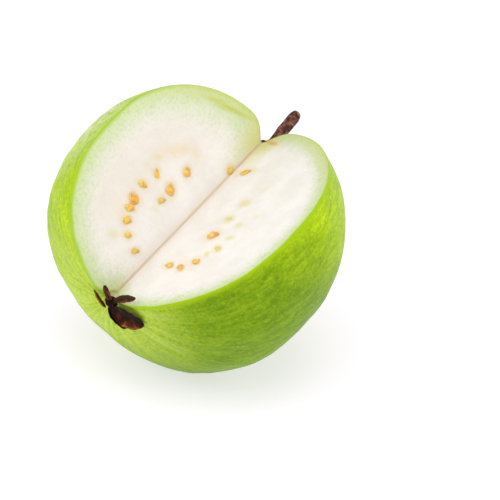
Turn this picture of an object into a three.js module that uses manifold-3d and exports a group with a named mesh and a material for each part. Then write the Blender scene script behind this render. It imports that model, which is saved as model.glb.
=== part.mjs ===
// A guava with one quarter cut out, lying on its side. Millimetres, +Z up.
// The origin is the middle of the small flat spot that it rests on.
//
// Everything that grew is shaped in the fruit's own frame first: its z axis runs through the fruit from the
// dried calyx (below) to the stem (above), and its x axis points out through the middle of the cut.
// The group at the end lays that frame on the ground.

import * as THREE from 'three';
import { mergeVertices } from 'three/addons/utils/BufferGeometryUtils.js';
import Module from 'manifold-3d';

const wasm = await Module();
wasm.setup();

// Body of the fruit
const RADIUS = 48;
const CALYX_END = { reach: 41.5, fullness: 2.6, dimpleDepth: 5, dimpleRadius: 4 };
const STEM_END = { reach: 43.5, fullness: 1.95, dimpleDepth: 5.5, dimpleRadius: 5.5 };
const CALYX_END_BULGE = { size: 0.15, towards: 96 };
const STEM_END_BULGE = { size: 0.04, towards: 96 };
const OVAL = { size: 0.05, towards: 40 };
const THREE_SIDED = { size: 0.02, towards: 49 };
const SHOULDER = { rise: 0.085, towards: 59 };
const AROUND = 60;
const ALONG = 40;

// How it is cut and how it lies
const CUT_HALF_ANGLE = 47.25;
const CUTTER_REACH = 90;
const HEADING = 49;
const RISE = 21.5;
const ROLL = 23.5;
const CENTRE = new THREE.Vector3(2.5, 0.5, 49.9);
const GAP = 0.3;

// Seeds on the two cut faces: distance from the fold, height, length, width (mm), turn (degrees)
const SEED_RELIEF = 0.9;
const SEEDS_LEFT = [
  [12, 9, 3.6, 2.6, 35],
  [11, 1, 4.4, 2.6, 20],
  [12.8, 0.3, 3.6, 2.2, 55],
  [11, -5, 3.4, 3.0, 0],
  [19, -0.5, 3.8, 2.4, 35],
  [19.5, -7, 3.4, 2.8, 60],
  [18.5, -13, 4.6, 3.4, 40],
  [17, -16.2, 3.4, 3.0, 10],
  [14.5, -19.2, 3.4, 3.0, 90],
  [10.8, -21.8, 3.6, 2.8, 30],
  [5.5, -23, 3.2, 2.6, 80],
  [2.2, 21, 3.2, 2.4, 60],
];
const SEEDS_RIGHT = [
  [6, 23, 4.6, 2.4, 15],
  [20, 8.5, 3.8, 2.6, 60],
  [19.5, 0.5, 4, 2.8, 60],
  [27.3, -1.6, 3, 2.4, 0],
  [19, -7, 4.8, 3.4, 45],
  [28, -8, 3.2, 2.6, 20],
  [27, -13, 3.4, 3.0, 0],
  [24.5, -16.5, 3.2, 2.4, 90],
  [22.5, -19.7, 3.4, 2.8, 65],
  [17.5, -22.5, 3.4, 3.0, 90],
  [12.5, -22, 3.4, 2.6, 30],
];

// Stem: heights on the fruit's axis, radii, and the sideways places of its foot and tip
const STEM_FOOT = new THREE.Vector3(-2, 2.6, 37);
const STEM_TIP = new THREE.Vector3(-2, 1.2, 56);
const STEM_NECK_RADIUS = 1.75;
const STEM_HEAD_RADIUS = 2.1;
const STEM_COLLAR = { radius: 3.6, height: 2.4 };

// Calyx: the dried base that sits in the dimple, and the sepals left on it.
// A sepal runs from root over bend to tip, as [distance from the axis, angle, height]; side is the direction of its
// width, hollow how far its edges stand up from its midrib.
const CALYX_BASE = { radius: 5, top: -35.5, bottom: -41.2, hollow: 2.6, thickness: 0.9 };
const SEPAL_THICKNESS = 0.7;
const SEPALS = [
  { root: [2.8, 130, -38.9], bend: [3, 10, -42], tip: [8, -12, -40.6], side: [65, 0.4], width: 3.2, hollow: 0.6 },
  { root: [2, 75, -39.6], bend: [8, 48, -41.2], tip: [14.5, 43, -39.6], side: [-30, -0.6], width: 3.6, hollow: 0.5 },
  { root: [4.2, 205, -40.4], bend: [6.4, 235, -42], tip: [5.8, 272, -41.4], side: [25, -0.5], width: 3.4, hollow: 0.3 },
  { root: [3.5, 110, -40], bend: [8.5, 96, -45], tip: [15.5, 78, -41.6], side: [150, -0.5], width: 6.4, hollow: 2 },
  { root: [3.6, 165, -40], bend: [5.2, 168, -42], tip: [6.4, 170, -42.6], side: [255, 0], width: 2.4, hollow: 0.3 },
];

const radians = THREE.MathUtils.degToRad;

// A closed surface from pole to pole: place(t, a) gives the point at share t of the way from the first pole
// to the last, at angle a around.
function closedSurface(rows, columns, place) {
  const points = [place(0, 0)];
  for (let row = 1; row < rows; row++) {
    for (let column = 0; column < columns; column++) {
      points.push(place(row / rows, (column / columns) * 2 * Math.PI));
    }
  }
  points.push(place(1, 0));

  const last = points.length - 1;
  const at = (row, column) => 1 + (row - 1) * columns + (column % columns);
  const triangles = [];
  for (let column = 0; column < columns; column++) {
    triangles.push(0, at(1, column + 1), at(1, column));
    triangles.push(last, at(rows - 1, column), at(rows - 1, column + 1));
    for (let row = 1; row < rows - 1; row++) {
      const [a, b, c, d] = [at(row, column), at(row, column + 1), at(row + 1, column + 1), at(row + 1, column)];
      triangles.push(a, b, c, a, c, d);
    }
  }
  const geometry = new THREE.BufferGeometry().setFromPoints(points);
  geometry.setIndex(triangles);
  return geometry;
}

// Geometry to a solid that can be cut and joined, and back
function solidOf(geometry) {
  const bare = geometry.clone();
  bare.deleteAttribute('normal');
  bare.deleteAttribute('uv');
  const merged = mergeVertices(bare);
  return new wasm.Manifold(new wasm.Mesh({
    numProp: 3,
    vertProperties: new Float32Array(merged.attributes.position.array),
    triVerts: new Uint32Array(merged.index.array),
  }));
}

function geometryOf(solid) {
  const mesh = solid.getMesh();
  const geometry = new THREE.BufferGeometry();
  geometry.setAttribute('position', new THREE.BufferAttribute(mesh.vertProperties, 3));
  geometry.setIndex(new THREE.BufferAttribute(mesh.triVerts, 1));
  geometry.computeVertexNormals();
  return geometry;
}

const wave = (bump, angle, times) => bump.size * Math.cos(times * (angle - radians(bump.towards)));

// A point of the whole fruit's skin. t runs from 0 at the calyx dimple to 1 at the stem dimple.
function skinPoint(t, angle) {
  const end = t < 0.5 ? CALYX_END : STEM_END;
  const way = t < 0.5 ? -1 : 1;
  const lean = (t - 0.5) * Math.PI;
  const radius = RADIUS * Math.max(Math.cos(lean), 0) ** (2 / end.fullness);
  const dimple = end.dimpleDepth * Math.exp(-((radius / end.dimpleRadius) ** 1.5));
  const height = way * (end.reach * Math.abs(Math.sin(lean)) ** (2 / end.fullness) - dimple);

  const stemward = t * t * (3 - 2 * t);
  const swell = 1
    + wave(CALYX_END_BULGE, angle, 1) * (1 - stemward)
    + wave(STEM_END_BULGE, angle, 1) * stemward
    + wave(OVAL, angle, 2)
    + wave(THREE_SIDED, angle, 3);
  const shoulder = SHOULDER.rise * Math.cos(angle - radians(SHOULDER.towards)) * radius * stemward;
  const reach = radius * swell;
  return new THREE.Vector3(reach * Math.cos(angle), reach * Math.sin(angle), height + shoulder);
}

// The rings crowd towards the poles, where the dimples are
function wholeFruit() {
  return closedSurface(ALONG, AROUND, (t, angle) => skinPoint((1 - Math.cos(t * Math.PI)) / 2, angle));
}

// The quarter that was cut out, as a wedge whose edge is the fruit's axis, moved outwards by clearance
function cutWedge(clearance) {
  const angle = radians(CUT_HALF_ANGLE);
  const edge = clearance / Math.sin(angle);
  const outline = new THREE.Shape([
    new THREE.Vector2(edge, 0),
    new THREE.Vector2(edge + CUTTER_REACH * Math.cos(angle), -CUTTER_REACH * Math.sin(angle)),
    new THREE.Vector2(edge + CUTTER_REACH * Math.cos(angle), CUTTER_REACH * Math.sin(angle)),
  ]);
  const wedge = new THREE.ExtrudeGeometry(outline, { depth: 2 * CUTTER_REACH, bevelEnabled: false });
  return wedge.translate(0, 0, -CUTTER_REACH);
}

// Seed bumps, sunk half into a cut face
function seedBumps(seeds, faceAngle) {
  const face = radians(faceAngle);
  return seeds.map(([out, height, length, width, turn]) => {
    const bump = new THREE.SphereGeometry(0.5, 10, 7).scale(length, 2 * SEED_RELIEF, width);
    bump.rotateY(-radians(turn));
    return bump.translate(out, 0, height).rotateZ(face);
  });
}

// How the fruit's frame lies on the ground
function lie() {
  const [heading, rise, roll] = [HEADING, RISE, ROLL].map(radians);
  const axis = new THREE.Vector3(
    Math.cos(heading) * Math.cos(rise),
    Math.sin(heading) * Math.cos(rise),
    Math.sin(rise),
  );
  const up = new THREE.Vector3(0, 0, 1).addScaledVector(axis, -Math.sin(rise)).normalize();
  const side = new THREE.Vector3().crossVectors(axis, up);
  const notch = up.multiplyScalar(Math.cos(roll)).addScaledVector(side, Math.sin(roll));
  const across = new THREE.Vector3().crossVectors(axis, notch);
  return new THREE.Matrix4().makeBasis(notch, across, axis).setPosition(CENTRE);
}

// Everything below the ground, in the fruit's own frame
function belowGround() {
  const size = 4 * RADIUS;
  return new THREE.BoxGeometry(size, size, size).translate(0, 0, -size / 2).applyMatrix4(lie().invert());
}

// What other pieces must stay clear of: the cut fruit, grown by the gap
function fruitWithGap() {
  const grown = mergeVertices(wholeFruit());
  grown.computeVertexNormals();
  const { position, normal } = grown.attributes;
  for (let i = 0; i < position.count; i++) {
    position.setXYZ(
      i,
      position.getX(i) + GAP * normal.getX(i),
      position.getY(i) + GAP * normal.getY(i),
      position.getZ(i) + GAP * normal.getZ(i),
    );
  }
  return solidOf(grown).subtract(solidOf(cutWedge(GAP)));
}

function fruit() {
  let solid = solidOf(wholeFruit()).subtract(solidOf(cutWedge(0)));
  const bumps = [...seedBumps(SEEDS_LEFT, -CUT_HALF_ANGLE), ...seedBumps(SEEDS_RIGHT, CUT_HALF_ANGLE)];
  for (const bump of bumps) solid = solid.add(solidOf(bump));
  return solid.subtract(solidOf(belowGround()));
}

// A woody stub, narrow above its collar, thicker towards the rounded end
function stem() {
  const along = new THREE.Vector3().subVectors(STEM_TIP, STEM_FOOT);
  const length = along.length();
  const stub = closedSurface(18, 18, (t, angle) => {
    const share = Math.sin((t * Math.PI) / 2);
    const roundEnd = Math.sqrt(Math.max(1 - share ** 14, 0));
    const collar = (STEM_COLLAR.radius - STEM_NECK_RADIUS)
      * Math.exp(-(((share * length) / STEM_COLLAR.height) ** 2));
    const shaft = THREE.MathUtils.lerp(STEM_NECK_RADIUS, STEM_HEAD_RADIUS, share);
    const radius = t === 0 ? 0 : (shaft + collar) * roundEnd * (1 + 0.05 * Math.cos(3 * angle + 4 * share));
    return new THREE.Vector3(radius * Math.cos(angle), radius * Math.sin(angle), 0)
      .addScaledVector(along, t === 0 ? 0 : share)
      .add(STEM_FOOT);
  });
  return solidOf(stub).subtract(fruitWithGap()).subtract(solidOf(cutWedge(-GAP)));
}

const polar = ([distance, angle, height]) => new THREE.Vector3(
  distance * Math.cos(radians(angle)),
  distance * Math.sin(radians(angle)),
  height,
);

// A thin dried blade with a round root and a pointed end, hollowed along its length
function sepal({ root, bend, tip, side, width, hollow }) {
  const midrib = new THREE.QuadraticBezierCurve3(polar(root), polar(bend), polar(tip));
  const across = new THREE.Vector3(Math.cos(radians(side[0])), Math.sin(radians(side[0])), side[1]).normalize();
  return closedSurface(10, 12, (t, angle) => {
    const centre = midrib.getPoint(t);
    const tangent = midrib.getTangent(t);
    const face = new THREE.Vector3().crossVectors(tangent, across).normalize();
    const fullness = Math.sqrt(Math.sin(Math.PI * t ** 0.8));
    const offset = Math.cos(angle);
    return centre
      .addScaledVector(across, (width / 2) * fullness * offset)
      .addScaledVector(face, hollow * fullness * offset * offset)
      .addScaledVector(face, (SEPAL_THICKNESS / 2) * fullness * Math.sin(angle));
  });
}

// The dried cup in the dimple
function calyxBase() {
  const { radius, top, bottom, hollow, thickness } = CALYX_BASE;
  const outline = [
    [0, top],
    [radius * 0.6, top],
    [radius, bottom],
    [radius - thickness, bottom],
    [radius * 0.45, bottom + hollow],
    [0, bottom + hollow],
  ].map(([x, y]) => new THREE.Vector2(x, y));
  return new THREE.LatheGeometry(outline.reverse(), 40).rotateX(Math.PI / 2);
}

function calyx() {
  let solid = solidOf(calyxBase()).subtract(solidOf(cutWedge(-GAP)));
  for (const shape of SEPALS) solid = solid.add(solidOf(sepal(shape)));
  return solid.subtract(fruitWithGap());
}

function material(colour, roughness) {
  return new THREE.MeshStandardMaterial({ color: colour, roughness, metalness: 0 });
}

function piece(name, solid, look) {
  const mesh = new THREE.Mesh(geometryOf(solid), look);
  mesh.name = name;
  return mesh;
}

const guava = new THREE.Group();
guava.add(
  piece('fruit', fruit(), material(0x9fca3a, 0.45)),
  piece('stem', stem(), material(0x5a3528, 0.85)),
  piece('calyx', calyx(), material(0x3f2416, 0.8)),
);
guava.applyMatrix4(lie());

export default guava;
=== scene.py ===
"""The finished looks of a guava with one quarter cut out, lying on its side. Metres, +Z up.

The fruit's own frame is used for everything that grew: z runs from the dried calyx to the stem, and x points
out through the middle of the cut. LIE lays that frame on the ground.
"""

import math

import bpy
import numpy as np
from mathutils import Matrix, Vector, noise
from mathutils.kdtree import KDTree


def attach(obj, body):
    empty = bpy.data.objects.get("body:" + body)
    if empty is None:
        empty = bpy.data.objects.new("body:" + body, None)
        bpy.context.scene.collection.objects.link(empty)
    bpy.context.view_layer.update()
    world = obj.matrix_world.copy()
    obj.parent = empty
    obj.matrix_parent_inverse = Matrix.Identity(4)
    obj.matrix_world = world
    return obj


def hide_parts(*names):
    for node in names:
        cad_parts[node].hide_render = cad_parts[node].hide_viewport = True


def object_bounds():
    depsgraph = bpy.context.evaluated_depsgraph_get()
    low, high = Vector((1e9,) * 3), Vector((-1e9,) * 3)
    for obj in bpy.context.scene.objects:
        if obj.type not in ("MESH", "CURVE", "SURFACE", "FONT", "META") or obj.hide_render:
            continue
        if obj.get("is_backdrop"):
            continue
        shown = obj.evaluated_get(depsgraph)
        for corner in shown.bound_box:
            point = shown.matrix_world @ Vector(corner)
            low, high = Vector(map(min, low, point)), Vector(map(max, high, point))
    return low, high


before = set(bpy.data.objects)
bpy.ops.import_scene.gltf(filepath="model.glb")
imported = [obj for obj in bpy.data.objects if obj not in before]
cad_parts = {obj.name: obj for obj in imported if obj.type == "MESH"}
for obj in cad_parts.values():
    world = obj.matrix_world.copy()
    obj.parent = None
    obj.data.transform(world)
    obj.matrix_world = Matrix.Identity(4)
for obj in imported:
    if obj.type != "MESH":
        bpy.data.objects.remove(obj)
cad_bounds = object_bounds()

# Body of the fruit, as in the CAD model
RADIUS = 0.048
CALYX_END = {"reach": 0.0415, "fullness": 2.6, "pit_depth": 0.005, "pit_radius": 0.004}
STEM_END = {"reach": 0.0435, "fullness": 1.95, "pit_depth": 0.0055, "pit_radius": 0.0055}
CALYX_END_BULGE = (0.15, 96, 1)
STEM_END_BULGE = (0.04, 96, 1)
OVAL = (0.05, 40, 2)
THREE_SIDED = (0.02, 49, 3)
SHOULDER_RISE = 0.085
SHOULDER_TOWARDS = 59
CALYX_POLE = -CALYX_END["reach"] + CALYX_END["pit_depth"]
STEM_POLE = STEM_END["reach"] - STEM_END["pit_depth"]

# How it is cut and how it lies
CUT_HALF_ANGLE = math.radians(47.25)
HEADING = math.radians(49)
RISE = math.radians(21.5)
ROLL = math.radians(23.5)
CENTRE = np.array([0.0025, 0.0005, 0.0499])

# Fineness of the meshes: rows from end to end, and columns round or across
ROWS = 190
SKIN_COLUMNS = 270
FLESH_COLUMNS = 84
SEED_GRID = (22, 26)
STEM_GRID = (110, 72)
KNOT_GRID = (26, 36)
SEPAL_GRID = (48, 44)
# How much closer the columns lie at the cut's edge, on the skin and on the flesh
SKIN_CROWDING = 0.85
FLESH_CROWDING = 0.2
# How finely the outline and the cut's edge are sampled to measure along them
OUTLINE_SAMPLES = 4000
EDGE_SAMPLES_PER_ROW = 4

# The side of the fruit, in its own frame, where the skin is painted a deeper green as shade: its lower side,
# which the lights reach least
SHADED_UNDERSIDE = (-0.25, 0.75, -0.60)

# Relief of the skin: soft lumps, which are calmer towards the stem
LUMP_HEIGHT = 0.00032
LUMP_SIZE = 0.011
FINE_LUMPS = 0.4
LUMPS_AT_CALYX = 1.4
LUMPS_CALMED = 0.6
LUMPS_CALMED_FROM_TO = (-0.030, 0.010)
# Puckers round both pits: count, height, sideways drift, and for each ring its radius, width and strength
PUCKER_COUNT = 15
PUCKER_HEIGHT = 0.00032
PUCKER_DRIFT = 2.5
PUCKER_DRIFT_SIZE = 0.012
CALYX_PUCKERS = (0.009, 0.007, 1.0)
STEM_PUCKERS = (0.007, 0.005, 0.7)
PIT_FROM_TO = (0.0005, 0.003)

# A finely wrinkled, a little swollen patch of skin, which the skin's colour paints pale on its wrinkles as a
# sheen of reflected light
WRINKLED_SHEEN_PATCH = (0.0140, -0.0420, 0.0020)
WRINKLED_SHEEN_PATCH_SIZE = 0.020
WRINKLED_PATCH_RISE = 0.0005
WRINKLED_PATCH_SWELL = 0.6
WRINKLED_PATCH_RIDGES = 0.15
WRINKLED_PATCH_RIDGE_SIZE = 0.0022
WRINKLED_PATCH_GRAIN = np.array([1, 1, 0.5])

# Relief of the cut flesh: pulp, strongest in a belt round the seeds, waves of the knife, rim and fold
PULP_HEIGHT = 0.00010
PULP_SIZE = 0.0017
PULP_EVERYWHERE = 0.35
PULP_BELT_MIDDLE = 0.018
PULP_BELT_WIDTH = 0.014
PULP_BELT_REACH = 0.028
KNIFE_WAVE_HEIGHT = 0.00010
KNIFE_WAVE_SIZE = 0.011
RIM_ROUNDING = 0.00035
RIM_CALM = 0.001
FOLD_WIDTH = 0.0004
FOLD_DEPTH = 0.00006
FOLD_CALM = 0.0006
FOLD_ENDS = 0.003

# Seeds on the cut faces: distance from the fold, height, length, width, turn (degrees), tone
# Tone: 0 is a bare amber seed, 0.5 a yellow one, 1 a pale one that flesh clings to.
SEED_RELIEF = 0.0009
BARE_SEED_RELIEF = 0.50
SEED_RELIEF_LOST = 0.34
SEED_FILL = 0.92
SEED_TAPER = 0.22
SEED_BEND = 0.10
SEED_BEND_ZERO = 0.4
SEED_LUMPS = 0.30
SEED_LUMP_FINENESS = 1.3
SEED_KNOBS = 0.16
SEED_KNOB_FINENESS = 2.6
# How far apart the seeds lie in the noise, and how much the brown end of a seed leans to one side
SEED_NOISE_STEP = 9
SEED_END_LEAN = 0.7
# The socket and the stain round a seed, as shares of the seed's own size
SOCKET_DEPTH = 0.12
SOCKET_REACH = 1.45
SEED_STAIN_REACH = 0.9
SEED_STAIN = 0.35
BARE_SEED_STAIN = 0.30
TONE_COVERS = 0.8
SEEDS_LEFT = [
    (0.0118, 0.0087, 0.0033, 0.0028, 35, 0.10),
    (0.0116, 0.0001, 0.0040, 0.0033, 40, 0.08),
    (0.0110, -0.0048, 0.0032, 0.0021, 113, 0.60),
    (0.0188, -0.0006, 0.0034, 0.0021, 29, 0.30),
    (0.0195, -0.0069, 0.0036, 0.0022, 154, 0.35),
    (0.0183, -0.0124, 0.0041, 0.0034, 3, 0.00),
    (0.0171, -0.0155, 0.0036, 0.0025, 137, 0.15),
    (0.0148, -0.0189, 0.0034, 0.0027, 128, 0.30),
    (0.0110, -0.0217, 0.0029, 0.0022, 137, 0.35),
    (0.0054, -0.0229, 0.0032, 0.0020, 127, 0.50),
    (0.0009, 0.0222, 0.0034, 0.0029, 172, 0.45),
]
SEEDS_RIGHT = [
    (0.0062, 0.0231, 0.0048, 0.0029, 15, 0.25),
    (0.0193, -0.0071, 0.0052, 0.0034, 5, 0.10),
    (0.0227, -0.0194, 0.0040, 0.0026, 162, 0.20),
    (0.0183, -0.0226, 0.0040, 0.0023, 153, 0.00),
    (0.0122, -0.0223, 0.0040, 0.0024, 172, 0.30),
    (0.0271, -0.0128, 0.0036, 0.0022, 154, 0.80),
    (0.0195, 0.0005, 0.0036, 0.0025, 172, 0.85),
    (0.0203, 0.0083, 0.0035, 0.0025, 3, 0.95),
]
# Seeds that the flesh still covers show as soft pale-green swellings: the same sizes, then strength
VEILED_RELIEF = 0.0003
VEILED_LEFT = [
    (0.0148, -0.0255, 0.0042, 0.0024, 138, 0.7),
    (0.0108, -0.0084, 0.0026, 0.0017, 152, 0.5),
    (0.0224, 0.0034, 0.0036, 0.0020, 128, 0.5),
    (0.0230, -0.0014, 0.0030, 0.0018, 4, 0.4),
]
VEILED_RIGHT = [
    (0.0195, 0.0005, 0.0046, 0.0032, 172, 0.7),
    (0.0203, 0.0083, 0.0046, 0.0032, 3, 0.7),
    (0.0270, -0.0018, 0.0040, 0.0028, 175, 0.8),
    (0.0283, -0.0079, 0.0043, 0.0026, 5, 1.0),
    (0.0271, -0.0128, 0.0044, 0.0030, 154, 0.6),
    (0.0248, -0.0159, 0.0040, 0.0022, 131, 1.0),
    (0.0311, 0.0027, 0.0030, 0.0019, 162, 0.4),
    (0.0237, 0.0153, 0.0052, 0.0021, 80, 0.4),
]

# Warm stains and yellow streaks in the flesh: the same sizes, then strength
STAINS_LEFT = [
    (0.0192, 0.0106, 0.0150, 0.0042, 123, 0.55),
    (0.0146, 0.0153, 0.0076, 0.0040, 13, 0.50),
    (0.0224, 0.0032, 0.0064, 0.0034, 110, 0.40),
    (0.0178, -0.0185, 0.0110, 0.0046, 10, 0.45),
]
STAINS_RIGHT = [
    (0.0054, 0.0380, 0.0120, 0.0034, 168, 0.95),
    (0.0205, -0.0210, 0.0160, 0.0030, 155, 0.45),
    (0.0085, 0.0232, 0.0070, 0.0022, 10, 0.60),
]
STREAKS_LEFT = [
    (0.0157, 0.0358, 0.0150, 0.0017, 151, 1.0),
    (0.0223, 0.0325, 0.0090, 0.0018, 142, 0.8),
    (0.0180, 0.0335, 0.0100, 0.0014, 148, 0.6),
]
FACES = {
    -1: {"seeds": SEEDS_LEFT, "veiled": VEILED_LEFT, "stains": STAINS_LEFT, "streaks": STREAKS_LEFT},
    1: {"seeds": SEEDS_RIGHT, "veiled": VEILED_RIGHT, "stains": STAINS_RIGHT, "streaks": []},
}

# Stem and calyx, as in the CAD model
STEM_FOOT = np.array([-0.002, 0.0026, 0.0385])
STEM_TIP = np.array([-0.002, 0.0012, 0.0568])
STEM_NECK_RADIUS = 0.00175
STEM_HEAD_RADIUS = 0.0021
STEM_COLLAR_RADIUS = 0.0036
STEM_COLLAR_HEIGHT = 0.0014
STEM_END_SQUARENESS = 14
STEM_RIDGES = 0.04
STEM_RIDGE_COUNT = 7
STEM_RIDGE_TWIST = 5
# Wrinkles of the bark: depth, fineness round it, fineness along it, sideways shift in the noise
STEM_WRINKLES = [(0.10, 2.2, 5, 0), (0.06, 4.5, 30, 4)]
KNOT = np.array([0.0010, 0.0012, -0.0408])
KNOT_RADIUS = 0.0021
KNOT_FLATNESS = 0.7
KNOT_ROUGHNESS = 0.4
KNOT_SHADE = -0.4
SEPAL_THICKNESS = 0.0005
SEPAL_TIP_SQUARENESS = 16
SEPAL_ROOT_SHARPNESS = 24
SEPAL_RAGGEDNESS = 0.16
SEPAL_CURL = 0.0003
SEPAL_VEIN_HEIGHT = 0.00008
SEPAL_VEIN_COUNT = 13
# Painted light and shade of a sepal, by shares of its length: how fast it gets painted light past its root in
# painted shade, the painted highlight there, and how it darkens back towards the root in painted shade and
# out to the tip
SEPAL_LIGHTENING = 0.2
SEPAL_HIGHLIGHT = 0.35
SEPAL_HIGHLIGHT_AT = 0.12
SEPAL_HIGHLIGHT_WIDTH = 0.05
SEPAL_ROOT_SHADE = 0.9
SEPAL_TIP_DARKENING = 0.6
SEPAL_TIP_FROM = 0.65
SEPAL_END_SHADE = -0.5
# Each sepal: how green it still is, how much painted light its lit edge gets, up to what share of its length
# it lies in painted shade, and three curves from its root to its tip: both edges and the keel between them
SEPALS = [
    {
        "fresh": 0.25,
        "painted_light": 0.7,
        "painted_shade_until": 0.0,
        "left": [(0.0018, 0.0006, -0.0416), (0.0060, -0.0008, -0.0426), (0.0098, -0.0017, -0.0420)],
        "keel": [(0.0021, 0.0011, -0.0412), (0.0060, -0.0001, -0.0417), (0.0097, -0.0014, -0.0415)],
        "right": [(0.0029, 0.0017, -0.0410), (0.0070, 0.0009, -0.0413), (0.0104, -0.0007, -0.0414)],
    },
    {
        "fresh": 0.1,
        "painted_light": 0.7,
        "painted_shade_until": 0.15,
        "left": [(0.0030, 0.0016, -0.0408), (0.0111, 0.0046, -0.0410), (0.0141, 0.0101, -0.0404)],
        "keel": [(0.0024, 0.0020, -0.0409), (0.0088, 0.0054, -0.0412), (0.0131, 0.0102, -0.0405)],
        "right": [(0.0021, 0.0025, -0.0411), (0.0072, 0.0064, -0.0416), (0.0120, 0.0102, -0.0408)],
    },
    {
        "fresh": 1.0,
        "painted_light": 0.0,
        "painted_shade_until": 0.0,
        "left": [(-0.0024, -0.0001, -0.0423), (0.0003, -0.0026, -0.0436), (0.0034, -0.0050, -0.0421)],
        "keel": [(-0.0023, 0.0000, -0.0420), (0.0008, -0.0025, -0.0426), (0.0035, -0.0050, -0.0420)],
        "right": [(-0.0013, 0.0002, -0.0421), (0.0019, -0.0020, -0.0423), (0.0039, -0.0049, -0.0420)],
    },
    {
        "fresh": 0.0,
        "painted_light": 1.15,
        "painted_shade_until": 0.42,
        "left": [(0.0021, 0.0027, -0.0416), (0.0098, 0.0099, -0.0438), (0.0060, 0.0150, -0.0420)],
        "keel": [(-0.0001, 0.0021, -0.0418), (-0.0006, 0.0078, -0.0432), (0.0032, 0.0151, -0.0418)],
        "right": [(-0.0002, 0.0021, -0.0424), (-0.0023, 0.0080, -0.0462), (0.0011, 0.0144, -0.0428)],
    },
    {
        "fresh": 0.0,
        "painted_light": 0.3,
        "painted_shade_until": 0.2,
        "left": [(0.0005, 0.0008, -0.0414), (-0.0050, 0.0007, -0.0439), (-0.0051, 0.0085, -0.0433)],
        "keel": [(0.0001, 0.0012, -0.0410), (-0.0056, 0.0016, -0.0421), (-0.0047, 0.0089, -0.0427)],
        "right": [(0.0011, 0.0022, -0.0411), (-0.0030, 0.0034, -0.0411), (-0.0036, 0.0095, -0.0423)],
    },
]

# Sizes of the patterns in the materials
MOTTLE_SIZE = 0.0011
SKIN_PATCH_SIZE = 0.012
SKIN_SPECK_SIZE = 0.0013
SKIN_PORE_SIZE = 0.0009
WRINKLE_AND_SHEEN_SIZE = 0.0013
FLESH_GRAIN_SIZE = 0.0009
FLESH_THREAD_SIZE = 0.0030
FLESH_CLOUD_SIZE = 0.009
FLESH_SPECKLE_SIZE = 0.0010
RIM_EDGE_SIZE = 0.0035
GREEN_RIM_WIDTH = 0.0105
SEED_FLECK_SIZE = 0.0013
SEED_GRAIN_SIZE = 0.0007
BARK_PATCH_SIZE = 0.0018
BARK_STREAK_SIZE = 0.0011
BARK_CRACK_SIZE = 0.0008
SEPAL_PATCH_SIZE = 0.0026
SEPAL_GRAIN_SIZE = 0.0007
# The skin's streaks are noise on a cylinder of radius 1, with the fruit's heights stretched this many times
STREAK_STRETCH = 5
STREAK_SIZE = 0.030
BROAD_STREAK_SIZE = 0.11

# Camera, by the photograph's perspective: 28 degrees up, with the fruit off the picture's middle
CAMERA_DISTANCE = 0.7
CAMERA_ELEVATION = math.radians(28)
CAMERA_ASIDE = 0.0194
CAMERA_BELOW = 0.0105
LENS = 156.8
SENSOR_WIDTH = 36

# Brightness of the white studio at the horizon and overhead, and between which heights it changes
WALL_AND_CEILING = (1.0, 0.38)
WALL_TO_CEILING = (0.05, 0.45)
# Soft lights: name, place, size, power
LIGHTS = [
    ("top", (0.02, -0.36, 1.05), 0.9, 7.1),
    ("left", (-0.95, -0.1, 0.55), 0.7, 2.6),
    ("right", (0.95, -0.1, 0.55), 0.7, 2.0),
]
# The floor glows softly, and less so near the fruit, where its shadow falls
FLOOR_HALF_SIZE = 8.0
FLOOR_COLOUR = (0.53, 0.48, 0.57, 1)
FLOOR_GLOW = (0.60, 1.0)
FLOOR_GLOW_FROM_TO = (0.25, 1.2)
WHITE = (1, 1, 1, 1)


def lie_matrix():
    """The fruit's axes in the world, as the columns of a matrix."""
    axis = np.array([
        math.cos(HEADING) * math.cos(RISE),
        math.sin(HEADING) * math.cos(RISE),
        math.sin(RISE),
    ])
    up = np.array([0, 0, 1]) - axis * math.sin(RISE)
    up /= np.linalg.norm(up)
    notch = up * math.cos(ROLL) + np.cross(axis, up) * math.sin(ROLL)
    return np.stack([notch, np.cross(axis, notch), axis], axis=1)


LIE = lie_matrix()


def to_world(points):
    """Points of the fruit's frame in the world."""
    return np.asarray(points) @ LIE.T + CENTRE


def noise_of(points, size, seed=0):
    """Smooth noise from about -1 to 1, with bumps of that size, at each point."""
    shift = Vector((seed * 7.3, seed * 3.1, seed * 5.7))
    flat = np.asarray(points).reshape(-1, 3) / size
    values = [noise.noise(Vector(p) + shift) for p in flat]
    return np.array(values).reshape(np.asarray(points).shape[:-1])


def smooth_step(value, low, high):
    """0 below low, 1 above high, and a soft rise between them."""
    share = np.clip((value - low) / (high - low), 0, 1)
    return share * share * (3 - 2 * share)


def wave(bump, angle):
    """A swelling of that size round the fruit; towards is in degrees, and times is how often it comes."""
    size, towards, times = bump
    return size * np.cos(times * (angle - math.radians(towards)))


def profile(t):
    """Radius and height of the fruit's outline; t runs from 0 at the calyx pit to 1 at the stem pit."""
    calyx_half = t < 0.5
    fullness, reach, depth, width = (
        np.where(calyx_half, CALYX_END[key], STEM_END[key])
        for key in ("fullness", "reach", "pit_depth", "pit_radius")
    )
    lean = (t - 0.5) * np.pi
    radius = RADIUS * np.clip(np.cos(lean), 0, None) ** (2 / fullness)
    pit = depth * np.exp(-((radius / width) ** 1.5))
    height = reach * np.abs(np.sin(lean)) ** (2 / fullness) - pit
    return radius, np.where(calyx_half, -1, 1) * height


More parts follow.
